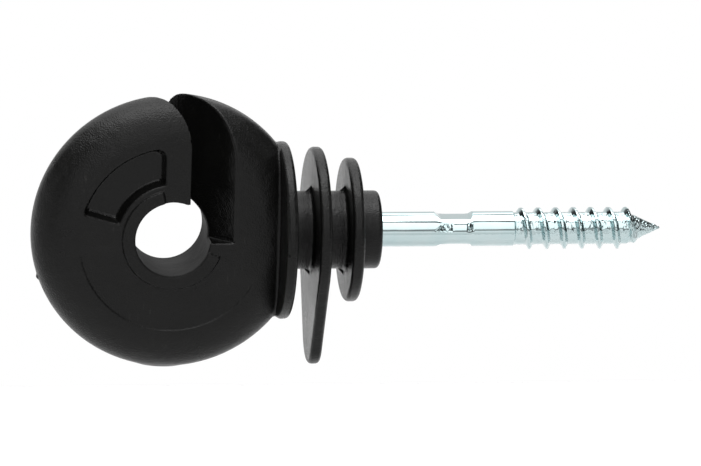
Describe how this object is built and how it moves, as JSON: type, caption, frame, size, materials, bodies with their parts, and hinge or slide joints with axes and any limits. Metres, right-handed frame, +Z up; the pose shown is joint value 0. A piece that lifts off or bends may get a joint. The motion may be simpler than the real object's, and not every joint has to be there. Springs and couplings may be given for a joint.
{
  "type": "ring fence insulator",
  "caption": "Screw-in ring insulator: a black plastic ring with a diagonal entry slit, a neck with rain flanges and a zinc-plated wood screw.",
  "frame": {"origin": "centre of the neck's end face, on the screw's axis, where the screw leaves the plastic", "axes": "+X along the screw to its point; Y along the ring's bore, front face towards -Y; +Z up, where the slit opens"},
  "size_m": [0.091, 0.0254, 0.0396],
  "materials": {
    "black_polyamide": "moulded, satin",
    "zinc_plated_steel": "bright zinc plating"
  },
  "bodies": {
    "root": {"insulator_body": "black_polyamide", "wood_screw": "zinc_plated_steel"}
  },
  "joints": []
}
